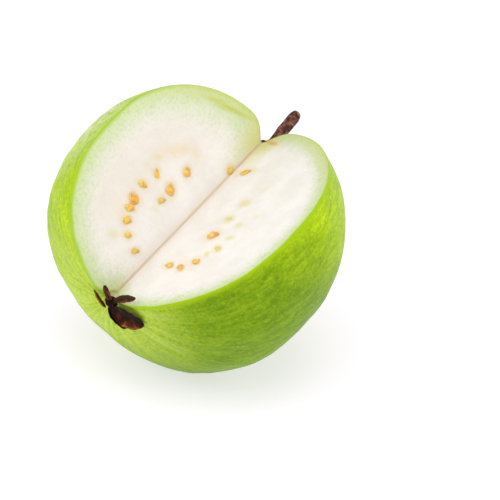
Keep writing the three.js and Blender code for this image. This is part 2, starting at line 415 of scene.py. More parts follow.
def skin_point(t, angle):
    """A point of the whole fruit's skin, before its relief."""
    radius, height = profile(t)
    stemward = t * t * (3 - 2 * t)
    swell = (
        1
        + wave(CALYX_END_BULGE, angle) * (1 - stemward)
        + wave(STEM_END_BULGE, angle) * stemward
        + wave(OVAL, angle)
        + wave(THREE_SIDED, angle)
    )
    shoulder = SHOULDER_RISE * np.cos(angle - math.radians(SHOULDER_TOWARDS)) * radius * stemward
    reach = radius * swell
    return np.stack([reach * np.cos(angle), reach * np.sin(angle), height + shoulder], axis=-1)


def even_rows():
    """Values of t that are evenly spaced along the fruit's outline."""
    t = (1 - np.cos(np.linspace(0, np.pi, OUTLINE_SAMPLES))) / 2
    radius, height = profile(t)
    length = np.concatenate([[0], np.cumsum(np.hypot(np.diff(radius), np.diff(height)))])
    return np.interp(np.linspace(0, length[-1], ROWS + 1), length, t)


def pucker_ring(out, ring):
    """Strength of the puckers at each distance from the fruit's axis."""
    middle, width, strength = ring
    return strength * np.exp(-(((out - middle) / width) ** 2))


def skin_relief(points):
    """How far the skin stands out from its smooth form: lumps, puckers round both pits, the wrinkled patch.
    """
    height = points[..., 2]
    out = np.hypot(points[..., 0], points[..., 1])
    angle = np.arctan2(points[..., 1], points[..., 0])
    lumps = noise_of(points, LUMP_SIZE, seed=1)
    lumps += FINE_LUMPS * noise_of(points, FINE_LUMPS * LUMP_SIZE, seed=2)
    lumps *= LUMP_HEIGHT * (LUMPS_AT_CALYX - LUMPS_CALMED * smooth_step(height, *LUMPS_CALMED_FROM_TO))
    drift = PUCKER_DRIFT * noise_of(points, PUCKER_DRIFT_SIZE, seed=3)
    puckers = PUCKER_HEIGHT * np.cos(PUCKER_COUNT * angle + drift)
    puckers *= np.where(height < 0, pucker_ring(out, CALYX_PUCKERS), pucker_ring(out, STEM_PUCKERS))
    ridges = 1 + WRINKLED_PATCH_RIDGES * noise_of(points * WRINKLED_PATCH_GRAIN, WRINKLED_PATCH_RIDGE_SIZE, seed=9)
    from_patch = np.linalg.norm(points - np.array(WRINKLED_SHEEN_PATCH), axis=-1)
    patch_swell = WRINKLED_PATCH_RISE * ridges * np.exp(-((from_patch / (WRINKLED_PATCH_SWELL * WRINKLED_SHEEN_PATCH_SIZE)) ** 2))
    return patch_swell + (lumps + puckers) * smooth_step(out, *PIT_FROM_TO)


def grid_normals(points):
    """Outward directions of a grid of points, from its neighbours."""
    along = np.gradient(points, axis=0)
    around = np.gradient(points, axis=1)
    normal = np.cross(around, along)
    length = np.linalg.norm(normal, axis=-1, keepdims=True)
    return normal / np.maximum(length, 1e-12)


def face_axes(side):
    """Directions along and out of a cut face; side is -1 for the left one and 1 for the right one."""
    angle = side * CUT_HALF_ANGLE
    along = np.array([math.cos(angle), math.sin(angle), 0])
    out = np.array([math.sin(CUT_HALF_ANGLE), -side * math.cos(CUT_HALF_ANGLE), 0])
    return along, out


def grow_skin(rows):
    """Grid of skin points from the right cut face round the back to the left one."""
    share = np.linspace(0, 1, SKIN_COLUMNS + 1)
    share -= SKIN_CROWDING * np.sin(2 * np.pi * share) / (2 * np.pi)
    angles = CUT_HALF_ANGLE + share * (2 * np.pi - 2 * CUT_HALF_ANGLE)
    t, angle = np.meshgrid(rows, angles, indexing="ij")
    points = skin_point(t, angle)
    points = points + grid_normals(points) * skin_relief(points)[..., None]
    for column, side in ((0, 1), (-1, -1)):
        out = face_axes(side)[1]
        edge = points[:, column]
        points[:, column] = edge - np.outer(edge @ out, out)
    return points


def reach_of(seed, distance, height):
    """How far each point lies from a seed's middle, as a share of the seed's own half size."""
    out, up, length, width, turn = seed[:5]
    c, s = math.cos(math.radians(turn)), math.sin(math.radians(turn))
    x, z = distance - out, height - up
    return np.hypot((x * c + z * s) / (length / 2), (-x * s + z * c) / (width / 2))


def marks(spots, distance, height, sharpness):
    """Strength, 0 to 1, of soft oval marks at each point of a cut face."""
    strength = np.zeros_like(distance)
    for spot in spots:
        fading = np.exp(-(reach_of(spot, distance, height) ** sharpness))
        strength = np.maximum(strength, spot[-1] * fading)
    return strength


def seed_fields(seeds, distance, height):
    """For each point of a cut face: socket depth, and stain round bare seeds (0 to 1)."""
    socket = np.zeros_like(distance)
    stain = np.zeros_like(distance)
    for seed in seeds:
        reach = reach_of(seed, distance, height)
        bare = 1 - TONE_COVERS * seed[-1]
        fading = np.exp(-((np.maximum(reach - 1, 0) / SEED_STAIN_REACH) ** 2))
        socket = np.maximum(socket, bare * (1 - smooth_step(reach, 1.0, SOCKET_REACH)))
        stain = np.maximum(stain, (SEED_STAIN + BARE_SEED_STAIN * bare) * fading)
    return socket, stain


def rim_distance(points, edge):
    """Distance of each point of a cut face from the skin's edge, along the face."""
    steps = np.arange(len(edge))
    fine = np.linspace(0, steps[-1], EDGE_SAMPLES_PER_ROW * len(edge))
    outline = np.stack([np.interp(fine, steps, edge[:, k]) for k in range(3)], axis=1)
    tree = KDTree(len(outline))
    for i, p in enumerate(outline):
        tree.insert(p, i)
    tree.balance()
    rim = np.array([tree.find(p)[2] for p in points.reshape(-1, 3)]).reshape(points.shape[:-1])
    rim[:, -1] = 0
    return rim


def flesh_relief(flat, side, distance, height, rim, socket, veil):
    """How far the flesh stands out from the flat cut: knife waves, pulp, veiled seeds, sockets, rim."""
    belt = np.exp(-(((distance - PULP_BELT_MIDDLE) / PULP_BELT_WIDTH) ** 2))
    belt *= np.exp(-((height / PULP_BELT_REACH) ** 4))
    relief = KNIFE_WAVE_HEIGHT * noise_of(flat, KNIFE_WAVE_SIZE, seed=4 + side)
    relief += PULP_HEIGHT * (PULP_EVERYWHERE + belt) * noise_of(flat, PULP_SIZE, seed=6 + side)
    relief += VEILED_RELIEF * veil - SOCKET_DEPTH * SEED_RELIEF * socket
    relief *= smooth_step(rim, 0, RIM_CALM) * smooth_step(distance, 0, FOLD_CALM)
    return relief - 0.5 * RIM_ROUNDING * np.exp(-((rim / RIM_ROUNDING) ** 2)) * (rim > 0)


def grow_flesh(side, edge):
    """Grid of one cut face, from the fold to the skin's edge, with the values that its colours follow."""
    along, out = face_axes(side)
    share = np.linspace(0, 1, FLESH_COLUMNS + 1)
    share = (1 - FLESH_CROWDING) * share + FLESH_CROWDING * np.sin(np.pi * share / 2)
    fold = np.linspace(CALYX_POLE, STEM_POLE, ROWS + 1)
    height = fold[:, None] * (1 - share) + edge[:, 2:3] * share
    distance = (edge @ along)[:, None] * share
    flat = distance[..., None] * along + height[..., None] * np.array([0, 0, 1])
    rim = rim_distance(flat, edge)

    face = FACES[side]
    socket, stain = seed_fields(face["seeds"], distance, height)
    veil = marks(face["veiled"], distance, height, sharpness=3)
    stain = np.maximum(stain, marks(face["stains"], distance, height, sharpness=2))
    streak = marks(face["streaks"], distance, height, sharpness=2)

    points = flat + flesh_relief(flat, side, distance, height, rim, socket, veil)[..., None] * out
    groove = FOLD_DEPTH * np.exp(-((distance / FOLD_WIDTH) ** 2)) * smooth_step(rim, 0, FOLD_ENDS)
    points[..., 0] -= groove
    points[:, -1] = edge
    values = {"rim": rim, "fold": distance, "stain": stain, "streak": streak, "veil": veil}
    return points, {**values, "face": np.full_like(rim, side)}


def add_mesh(name, points, faces, smooth=True):
    """A mesh object of that name in the scene."""
    mesh = bpy.data.meshes.new(name)
    mesh.from_pydata(np.asarray(points).tolist(), [], faces)
    mesh.validate()
    if smooth:
        mesh.shade_smooth()
    obj = bpy.data.objects.new(name, mesh)
    bpy.context.scene.collection.objects.link(obj)
    return obj


def add_values(obj, **values):
    """Stores numbers per vertex that the materials read: floats, or points as vectors."""
    for name, value in values.items():
        value = np.asarray(value, dtype=np.float32)
        if value.ndim == 2:
            obj.data.attributes.new(name, "FLOAT_VECTOR", "POINT").data.foreach_set("vector", value.ravel())
        else:
            obj.data.attributes.new(name, "FLOAT", "POINT").data.foreach_set("value", value)


def dress(obj, slot_name, node, *materials):
    """Gives a piece its materials, hangs it under the root, and hides the CAD node that it stands for."""
    for material in materials:
        obj.data.materials.append(material)
    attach(obj, "root")
    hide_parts(node)


# What the values that the colours follow are on the skin, where the cut faces don't set them
SKIN_VALUES = {"rim": 0, "fold": 1, "stain": 0, "streak": 0, "veil": 0, "face": 0, "edge": 1}


def build_body():
    """Skin and both cut faces as one closed mesh."""
    skin = grow_skin(even_rows())
    skin[0], skin[-1] = skin[0, 0], skin[-1, 0]
    right, right_values = grow_flesh(1, skin[:, 0])
    left, left_values = grow_flesh(-1, skin[:, -1])
    points = []
    kept = {name: [] for name in SKIN_VALUES}

    def keep(block, values):
        """Adds a grid's points and values to the mesh, and returns the grid of their numbers."""
        start = len(points)
        points.extend(block.reshape(-1, 3))
        count = len(points) - start
        for name, plain in SKIN_VALUES.items():
            kept[name].extend(values[name].ravel() if name in values else [plain] * count)
        return start + np.arange(count).reshape(block.shape[:-1])

    inner = slice(1, ROWS)
    from_planes = np.stack([np.abs(skin[inner] @ face_axes(side)[1]) for side in (1, -1)])
    edge = np.where(skin[inner][..., 0] > 0, from_planes.min(axis=0), 1)
    skin_ids = keep(skin[inner], {"edge": edge})
    right_ids = keep(right[inner, :-1], {k: v[inner, :-1] for k, v in right_values.items()})
    left_ids = keep(left[inner, 1:-1], {k: v[inner, 1:-1] for k, v in left_values.items()})
    calyx_pole, stem_pole = keep(np.stack([skin[0, 0], skin[-1, 0]]), {})
    right_ids = np.concatenate([right_ids, skin_ids[:, :1]], axis=1)
    left_ids = np.concatenate([right_ids[:, :1], left_ids, skin_ids[:, -1:]], axis=1)

    faces, zones = [], []

    def cover(ids, zone, flip):
        """Covers a grid with faces of one material, up to the poles at both ends."""
        corners = (ids[:-1, :-1], ids[:-1, 1:], ids[1:, 1:], ids[1:, :-1])
        quads = np.stack(corners, axis=-1).reshape(-1, 4)
        first = [(calyx_pole, b, a) for a, b in zip(ids[0, :-1], ids[0, 1:])]
        last = [(stem_pole, a, b) for a, b in zip(ids[-1, :-1], ids[-1, 1:])]
        block = quads.tolist() + first + last
        faces.extend([tuple(reversed(f)) for f in block] if flip else block)
        zones.extend([zone] * len(block))

    cover(skin_ids, 0, flip=False)
    cover(right_ids, 1, flip=False)
    cover(left_ids, 1, flip=True)

    grown = np.array(points)
    world = to_world(grown)
    world[:, 2] = np.maximum(world[:, 2], 0)
    body = add_mesh("guava_body", world, faces)
    body.data.polygons.foreach_set("material_index", zones)
    add_values(body, grown=grown, **kept)
    return body


def closed_surface(grid, place):
    """Points and faces of a closed surface from pole to pole; place(t, angle) gives each point."""
    rows, columns = grid
    points = [place(0, 0)]
    for row in range(1, rows):
        points += [place(row / rows, 2 * math.pi * column / columns) for column in range(columns)]
    points.append(place(1, 0))
    last = len(points) - 1

    def at(row, column):
        return 1 + (row - 1) * columns + column % columns

    faces = [(0, at(1, c + 1), at(1, c)) for c in range(columns)]
    faces += [(last, at(rows - 1, c), at(rows - 1, c + 1)) for c in range(columns)]
    faces += [
        (at(r, c), at(r, c + 1), at(r + 1, c + 1), at(r + 1, c))
        for r in range(1, rows - 1)
        for c in range(columns)
    ]
    return np.array(points), faces


def joined(parts):
    """Several closed surfaces in one list of points and faces."""
    points, faces = [], []
    for part_points, part_faces in parts:
        start = len(points)
        points.extend(part_points)
        faces.extend(tuple(start + i for i in face) for face in part_faces)
    return np.array(points), faces


def seed_shape(seed, side, number):
    """One seed, sunk half into its cut face: rounded at one end, drawn out at the other, and uneven.

    Besides its points and faces, it gives each point's rise out of the flesh and place along the seed.
    """
    out, up, length, width, turn, tone = seed
    along, normal = face_axes(side)
    c, s = math.cos(math.radians(turn)), math.sin(math.radians(turn))
    lengthwise = along * c + np.array([0, 0, s])
    widthwise = -along * s + np.array([0, 0, c])
    middle = along * out + np.array([0, 0, up])
    relief = SEED_RELIEF * (BARE_SEED_RELIEF - SEED_RELIEF_LOST * tone)

    def place(t, angle):
        x = -math.cos(math.pi * t)
        girth = math.sin(math.pi * t) * (1 - SEED_TAPER * x)
        around = SEED_LUMP_FINENESS * Vector((x, math.cos(angle), math.sin(angle)))
        around += Vector((SEED_NOISE_STEP * number, 0, 0))
        uneven = 1 + SEED_LUMPS * noise.noise(around) + SEED_KNOBS * noise.noise(SEED_KNOB_FINENESS * around)
        bent = SEED_BEND * length * (x * x - SEED_BEND_ZERO)
        return (
            middle
            + lengthwise * (SEED_FILL * x * uneven * length / 2)
            + widthwise * (SEED_FILL * girth * uneven * width / 2 * math.cos(angle) + bent)
            + normal * (girth * uneven * relief * math.sin(angle))
        )

    points, faces = closed_surface(SEED_GRID, place)
    rise = (points - middle) @ normal / relief
    end = (points - middle) @ (lengthwise + SEED_END_LEAN * widthwise) / (length / 2)
    return points, faces, rise, end


def build_seeds():
    """All seeds as one mesh, with each seed's tone and its points' rise and place along the seed."""
    parts, tones, rises, ends = [], [], [], []
    for side, face in FACES.items():
        for seed in face["seeds"]:
            seed_points, seed_faces, rise, end = seed_shape(seed, side, len(parts))
            parts.append((seed_points, seed_faces))
            tones += [seed[-1]] * len(seed_points)
            rises += rise.tolist()
            ends += end.tolist()
    points, faces = joined(parts)
    obj = add_mesh("seeds", to_world(points), faces)
    add_values(obj, grown=points, tone=tones, rise=rises, end=ends)
    return obj


def build_stem():
    """A woody stub: wrinkled bark, a collar in the pit, a rounded and slightly uneven end."""
    along = STEM_TIP - STEM_FOOT
    length = np.linalg.norm(along)

    def roughness(share, angle):
        around = Vector((math.cos(angle), math.sin(angle), 0))
        rough = STEM_RIDGES * math.cos(STEM_RIDGE_COUNT * angle + STEM_RIDGE_TWIST * share)
        for depth, round_it, along_it, shift in STEM_WRINKLES:
            rough += depth * noise.noise(around * round_it + Vector((shift, 0, along_it * share)))
        return rough

    def place(t, angle):
        share = math.sin(t * math.pi / 2) if 0 < t < 1 else t
        round_end = math.sqrt(max(1 - share**STEM_END_SQUARENESS, 0))
        rise = math.exp(-((share * length / STEM_COLLAR_HEIGHT) ** 2))
        collar = (STEM_COLLAR_RADIUS - STEM_NECK_RADIUS) * rise
        shaft = STEM_NECK_RADIUS + (STEM_HEAD_RADIUS - STEM_NECK_RADIUS) * share
        radius = 0 if t in (0, 1) else (shaft + collar) * round_end * (1 + roughness(share, angle))
        return STEM_FOOT + along * share + radius * np.array([math.cos(angle), math.sin(angle), 0])

    points, faces = closed_surface(STEM_GRID, place)
    obj = add_mesh("stem_stub", to_world(points), faces)
    add_values(obj, grown=points)
    return obj


def bezier(points, t):
    """A point of the curve from the first to the last of three points, drawn towards the middle one."""
    a, b, c = (np.array(p) for p in points)
    return a * (1 - t) ** 2 + b * 2 * t * (1 - t) + c * t * t


def sepal_shape(sepal, number):
    """A thin dried blade between its three curves, with a ragged edge, a few veins and a little curl."""

    def blade(t, w):
        left, keel, right = (bezier(sepal[key], t) for key in ("left", "keel", "right"))
        return left * w * (w - 1) / 2 + keel * (1 - w * w) + right * w * (w + 1) / 2

    def place(t, angle):
        fullness = math.sqrt(max(1 - t**SEPAL_TIP_SQUARENESS, 0)) * (1 - (1 - t) ** SEPAL_ROOT_SHARPNESS)
        ragged = 1 + SEPAL_RAGGEDNESS * noise.noise(Vector((9 * t, 2 * math.cos(angle), 5 * number)))
        w = math.cos(angle) * fullness * ragged
        step = 0.01
        along = blade(t + step, w) - blade(t - step, w)
        across = blade(t, w + step) - blade(t, w - step)
        normal = np.cross(along, across)
        normal /= np.linalg.norm(normal)
        curl = SEPAL_CURL * noise.noise(Vector((5 * t, 2 * w, 3 + 5 * number)))
        vein = SEPAL_VEIN_HEIGHT * math.cos(SEPAL_VEIN_COUNT * w)
        thickness = SEPAL_THICKNESS / 2 * math.sin(angle)
        return blade(t, w) + normal * fullness * (curl + vein + thickness)

    return closed_surface(SEPAL_GRID, place)


def calyx_knot():
    """The small dried lump where the sepals meet."""

    def place(t, angle):
        x = -math.cos(math.pi * t)
        girth = math.sin(math.pi * t)
        point = np.array([girth * math.cos(angle), girth * math.sin(angle), KNOT_FLATNESS * x])
        rough = 1 + KNOT_ROUGHNESS * noise.noise(Vector(point) * 2.2)
        return KNOT + point * KNOT_RADIUS * rough

    return closed_surface(KNOT_GRID, place)


def sepal_shades(sepal):
    """Painted light and shade at each point of a sepal: painted shade at the root, then painted shade on one
    side and painted light on the other.
    """
    rows, columns = SEPAL_GRID
    ring = [math.cos(2 * math.pi * column / columns) for column in range(columns)]
    shades = [0.0]
    for row in range(1, rows):
        share = row / rows
        past = share - sepal["painted_shade_until"]
        highlight = SEPAL_HIGHLIGHT * math.exp(-(((past - SEPAL_HIGHLIGHT_AT) / SEPAL_HIGHLIGHT_WIDTH) ** 2))
        # Painted light on one edge past the painted shade of the root, with a painted highlight just beyond.
        lit = sepal["painted_light"] * (smooth_step(past, 0, SEPAL_LIGHTENING) + highlight)
        drop = SEPAL_TIP_DARKENING * max(share - SEPAL_TIP_FROM, 0) + SEPAL_ROOT_SHADE * max(-past, 0)
        shades += [value * (lit if value > 0 else 1) - drop for value in ring]
    return [*shades, SEPAL_END_SHADE]


def build_calyx():
    """Knot and sepals, with two values for their colours: how light they are, which on the sepals is painted
    light and shade, and how green.
    """
    knot = calyx_knot()
    parts = [knot]
    shade, fresh = [KNOT_SHADE] * len(knot[0]), [0.0] * len(knot[0])
    for number, sepal in enumerate(SEPALS):
        parts.append(sepal_shape(sepal, number))
        shade += sepal_shades(sepal)
        fresh += [sepal["fresh"]] * len(parts[-1][0])
    points, faces = joined(parts)
    obj = add_mesh("calyx_sepals", to_world(points), faces)
    add_values(obj, grown=points, shade=shade, fresh=fresh)
    return obj


def linear(value):
    """A screen brightness, 0 to 1, as light."""
    return value / 12.92 if value <= 0.04045 else ((value + 0.055) / 1.055) ** 2.4


def colour(red, green, blue):
    """A screen colour, 0 to 255, as the linear colour that shaders use."""
    return (*(linear(value / 255) for value in (red, green, blue)), 1)


class Shader:
    """A material under construction, with one call for each kind of node."""

    def __init__(self, name):
        self.material = bpy.data.materials.new(name)
        self.material.use_nodes = True
        self.tree = self.material.node_tree
        self.surface = self.tree.nodes["Principled BSDF"]

    def add(self, kind, inputs=None, **settings):
        """Adds a node with these inputs and settings."""
        node = self.tree.nodes.new(kind)
        for key, value in settings.items():
            setattr(node, key, value)
        for key, value in (inputs or {}).items():
            self.put(node.inputs[key], value)
        return node

    def put(self, socket, value):
        """Gives a socket a value, or links another node's output to it."""
        if isinstance(value, bpy.types.NodeSocket):
            self.tree.links.new(value, socket)
        else:
            socket.default_value = value

    def set(self, **values):
        """Sets inputs of the surface, by their names."""
        for key, value in values.items():
            self.put(self.surface.inputs[key.replace("_", " ")], value)

    def value(self, name):
        """A number that the mesh keeps for each vertex."""
        return self.add("ShaderNodeAttribute", attribute_name=name).outputs["Fac"]

    def place(self):
        """The point's place in the fruit's own frame."""
        return self.add("ShaderNodeAttribute", attribute_name="grown").outputs["Vector"]

    def height(self, place):
        return self.add("ShaderNodeSeparateXYZ", {0: place}).outputs["Z"]

    def vector(self, operation, first, second=(0, 0, 0)):
        return self.add("ShaderNodeVectorMath", {0: first, 1: second}, operation=operation).outputs["Vector"]

    def measure(self, operation, first, second=(0, 0, 0)):
        return self.add("ShaderNodeVectorMath", {0: first, 1: second}, operation=operation).outputs["Value"]

    def noise(self, vector, size, detail=3.0, roughness=0.55, distortion=0.0):
        inputs = {"Vector": vector, "Scale": 1 / size, "Detail": detail, "Roughness": roughness,
                  "Distortion": distortion}
        return self.add("ShaderNodeTexNoise", inputs).outputs["Fac"]

    def spots(self, vector, size):
        """Distance from the nearest of many scattered points."""
        inputs = {"Vector": vector, "Scale": 1 / size}
        return self.add("ShaderNodeTexVoronoi", inputs).outputs["Distance"]

    def ramp(self, value, stops):
        node = self.add("ShaderNodeValToRGB", {"Fac": value})
        elements = node.color_ramp.elements
        while len(elements) < len(stops):
            elements.new(0.5)
        for element, (position, shade) in zip(elements, stops):
            element.position = position
            element.color = shade
        return node.outputs["Color"]

    def between(self, value, low, high, to_low=0.0, to_high=1.0):
        """Carries the range from low to high over to another one, and stops at its ends."""
        inputs = {"Value": value, "From Min": low, "From Max": high, "To Min": to_low, "To Max": to_high}
        return self.add("ShaderNodeMapRange", inputs).outputs["Result"]

    def math(self, operation, first, second=0.0, third=0.0):
        return self.add("ShaderNodeMath", {0: first, 1: second, 2: third}, operation=operation).outputs[0]

    def times(self, first, second):
        return self.math("MULTIPLY", first, second)

    def plus(self, first, second):
        return self.math("ADD", first, second)

    def mix(self, share, first, second, blend="MIX"):
        node = self.add("ShaderNodeMix", data_type="RGBA", blend_type=blend)
        for socket, value in zip((node.inputs[0], node.inputs[6], node.inputs[7]), (share, first, second)):
            self.put(socket, value)
        return node.outputs[2]

    def tint(self, base, share, red, green, blue):
        """Lays a screen colour over the base, as strongly as share says."""
        return self.mix(share, base, colour(red, green, blue))

    def bump(self, height, distance, strength=1.0):
        inputs = {"Height": height, "Distance": distance, "Strength": strength}
        self.set(Normal=self.add("ShaderNodeBump", inputs).outputs["Normal"])


def skin_green(m, mottle, patches, drawn):
    """The skin's green, from the mottle, the patches and the streaks."""
    tone = m.plus(m.times(mottle, 0.42), m.times(patches, 0.20))
    tone = m.plus(tone, m.math("MULTIPLY_ADD", drawn, 0.38, 0.19))
    return m.ramp(tone, [
        (0.40, colour(136, 170, 0)),
        (0.50, colour(164, 198, 0)),
        (0.60, colour(196, 222, 24)),
    ])


def painted_underside_shade(m, base, place, out, patches):
    """Painted shade: deepens the green on the fruit's lower side, which the lights reach least, with an
    uneven border.
    """
    sideways = m.between(m.measure("DOT_PRODUCT", place, SHADED_UNDERSIDE), 0.020, 0.037)
    far_out = m.between(m.plus(out, m.times(patches, 0.012)), 0.018, 0.044, 0.1, 1)
    return m.mix(m.times(sideways, far_out), base, (0.48, 0.58, 0.8, 1), blend="MULTIPLY")


def pale_calyx_end(m, base, at_calyx, out, broad, mottle):
    """Pale streaks that run out from the calyx."""
    streaks = m.between(m.plus(m.times(broad, 0.6), m.times(mottle, 0.4)), 0.40, 0.60, 0.1, 0.75)
    return m.tint(base, m.times(m.times(at_calyx, m.between(out, 0.034, 0.008)), streaks), 208, 228, 110)


def wrinkles_and_painted_sheen(m, place, patches):
    """Where the wrinkled patch is painted pale as a sheen of reflected light: on its wrinkles, out to an
    uneven border.
    """
    from_middle = m.measure("DISTANCE", place, WRINKLED_SHEEN_PATCH)
    reach = m.plus(from_middle, m.math("MULTIPLY_ADD", patches, 0.030, -0.015))
    finely = m.vector("MULTIPLY", place, (1, 1, 0.4))
    wrinkles = m.noise(finely, WRINKLE_AND_SHEEN_SIZE, detail=4, distortion=1.5)
    return m.times(m.between(reach, 1.3 * WRINKLED_SHEEN_PATCH_SIZE, 0.25 * WRINKLED_SHEEN_PATCH_SIZE), m.between(wrinkles, 0.38, 0.54))


def skin_material():
    """Waxy green skin: soft mottle, fine pale specks, streaks from end to end, painted shade of deeper green
    on its lower side, a painted sheen on the wrinkled patch, painted light on the torn tissue at the calyx,
    and brighter at the cut, where a painted glow stands in for light through the thin edge.
    """
    m = Shader("guava_skin")
    place = m.place()
    sideways = m.vector("MULTIPLY", place, (1, 1, 0))
    out = m.measure("LENGTH", sideways)
    mottle = m.noise(place, MOTTLE_SIZE, detail=5, roughness=0.7)
    patches = m.noise(place, SKIN_PATCH_SIZE, detail=4)
    lengthwise = m.vector("MULTIPLY", place, (0, 0, STREAK_STRETCH))
    meridian = m.vector("ADD", m.vector("NORMALIZE", sideways), lengthwise)
    streaks = m.noise(meridian, STREAK_SIZE, detail=5, roughness=0.65)
    drawn = m.times(m.math("SUBTRACT", streaks, 0.5), m.between(out, 0.006, 0.026, 0.15, 1))
    broad = m.noise(meridian, BROAD_STREAK_SIZE, detail=3)
    at_calyx = m.between(m.height(place), -0.025, -0.035)
    wrinkles_and_sheen = wrinkles_and_painted_sheen(m, place, patches)

    base = skin_green(m, mottle, patches, drawn)
    # Painted shade: the skin's lower side is painted a deeper green.
    base = painted_underside_shade(m, base, place, out, patches)
    base = pale_calyx_end(m, base, at_calyx, out, broad, mottle)
    specks = m.spots(place, SKIN_SPECK_SIZE)
    base = m.tint(base, m.between(specks, 0.05, 0.35, 0.22, 0), 196, 220, 60)
    # Painted sheen: the wrinkled patch is painted pale on its wrinkles, standing in for light glancing off
    # them.
    base = m.tint(base, m.times(wrinkles_and_sheen, 0.80), 234, 240, 196)
    # Painted glow: the skin along the cut is painted a brighter, saturated green, standing in for light
    # shining through its thin edge.
    base = m.tint(base, m.between(m.value("edge"), 0.0004, 0.0022, 0.9, 0), 164, 200, 0)
    # Torn tissue at the calyx pole: pale as the flesh, and painted brighter still as painted light against
    # the shade of the pit.
    torn_and_lit = m.times(at_calyx, m.between(out, 0.0018, 0.0030, 1, 0))
    base = m.tint(base, torn_and_lit, 255, 246, 196)
    m.set(Base_Color=base)
    m.set(Roughness=m.between(mottle, 0.3, 0.7, 0.36, 0.48))
    m.set(IOR=1.18, Specular_IOR_Level=0.5, Subsurface_Weight=0.05, Subsurface_Scale=0.002)
    m.set(Subsurface_Radius=(0.6, 1.0, 0.15))
    pores = m.noise(place, SKIN_PORE_SIZE, detail=3)
    height = m.plus(m.times(pores, 0.4), m.times(drawn, 0.8))
    height = m.plus(height, m.times(wrinkles_and_sheen, 1.2))
    m.bump(m.plus(height, mottle), 0.0003, 0.6)
    return m.material


def green_rim(m, base, place, height, rim, face):
    """Green under the skin: wider towards the stem, narrower on the right face, with an uneven border."""
    spread = m.times(m.between(face, -1, 1, 1.0, 0.55), m.between(height, 0.005, 0.035, 1, 1.7))
    uneven = m.between(m.noise(place, RIM_EDGE_SIZE, detail=3), 0.3, 0.7, -0.0010, 0.0010)
    ragged = m.plus(rim, m.times(uneven, m.between(rim, 0.0004, 0.003)))
    depth = m.math("DIVIDE", ragged, spread)
    green = m.ramp(m.between(depth, 0, GREEN_RIM_WIDTH), [
        (0.00, colour(156, 194, 16)),
        (0.045, colour(180, 210, 92)),
        (0.10, colour(204, 220, 156)),
        (0.34, colour(214, 223, 184)),
        (0.66, colour(226, 228, 206)),
        (1.00, colour(240, 236, 226)),
    ])
    base = m.mix(m.between(depth, 0.0040, 0.0115, 1, 0), base, green)
    speckle = m.between(m.noise(place, FLESH_SPECKLE_SIZE, detail=4), 0.48, 0.68)
    near_skin = m.between(m.math("DIVIDE", rim, spread), 0.0008, 0.014, 0.55, 0)
    return m.tint(base, m.times(speckle, near_skin), 176, 196, 142)


def yellow_stem_end(m, base, height, rim, fold):
    """Yellower flesh by the stem's pit, and an olive tinge under the skin there."""
    by_pit = m.times(m.between(height, 0.022, 0.037), m.between(fold, 0.001, 0.010, 0.8, 0))
    base = m.tint(base, by_pit, 226, 218, 142)
    olive = m.times(m.between(height, 0.010, 0.032, 0, 0.6), m.between(rim, 0.006, 0.0005))
    return m.tint(base, olive, 204, 208, 130)


def flesh_marks(m, base, threads, fold):
    """Veiled seeds, stains, yellow streaks, and the tan line along the fold, with a wider band of painted
    shade in the fold's crease.
    """
    base = m.tint(base, m.times(m.value("veil"), 0.75), 222, 216, 140)
    stain = m.value("stain")
    stained = m.times(m.between(stain, 0.03, 1, 0, 1), m.between(threads, 0.36, 0.62, 0.35, 0.85))
    base = m.tint(base, stained, 234, 200, 130)
    base = m.tint(base, m.between(stain, 0.55, 1, 0, 0.85), 208, 164, 84)
    streaked = m.times(m.value("streak"), m.between(threads, 0.35, 0.6, 0.7, 1))
    base = m.tint(base, streaked, 190, 198, 56)
    # A wide band of painted shade in the fold's crease, then the fold's own thin tan line.
    base = m.tint(base, m.between(fold, 0.0006, 0.0040, 0.30, 0), 226, 205, 184)
    return m.tint(base, m.between(fold, 0.0003, 0.0009, 0.65, 0), 212, 188, 144)


def flesh_material():
    """Moist white flesh: green under the skin, yellower at the stem, stained round seeds, with a tan line and
    painted shade along the fold.
    """
    m = Shader("guava_flesh")
    place = m.place()
    height = m.height(place)
    rim, fold, face = (m.value(name) for name in ("rim", "fold", "face"))
    grain = m.noise(place, FLESH_GRAIN_SIZE, detail=4, roughness=0.6)
    clouds = m.noise(place, FLESH_CLOUD_SIZE, detail=4)
    fibrous = m.vector("MULTIPLY", place, (1, 1, 2.2))
    threads = m.noise(fibrous, FLESH_THREAD_SIZE, detail=4, roughness=0.7, distortion=0.8)

    base = m.ramp(clouds, [(0.35, colour(238, 233, 226)), (0.65, colour(246, 242, 237))])
    base = m.tint(base, m.between(threads, 0.56, 0.78, 0, 0.22), 232, 214, 176)
    far_left = m.times(m.between(face, 0, -1), m.between(fold, 0.008, 0.024, 0, 0.6))
    base = m.tint(base, far_left, 226, 218, 204)
    base = green_rim(m, base, place, height, rim, face)
    base = yellow_stem_end(m, base, height, rim, fold)
    base = flesh_marks(m, base, threads, fold)
    base = m.tint(base, m.between(grain, 0.35, 0.7, 0, 0.10), 205, 196, 180)
    m.set(Base_Color=base)
    m.set(Roughness=m.between(grain, 0.3, 0.7, 0.40, 0.55))
    m.set(Specular_IOR_Level=0.35, Subsurface_Weight=0.25, Subsurface_Scale=0.0014)
    m.set(Subsurface_Radius=(1.0, 0.85, 0.6))
    m.bump(grain, 0.00012, 0.6)
    return m.material


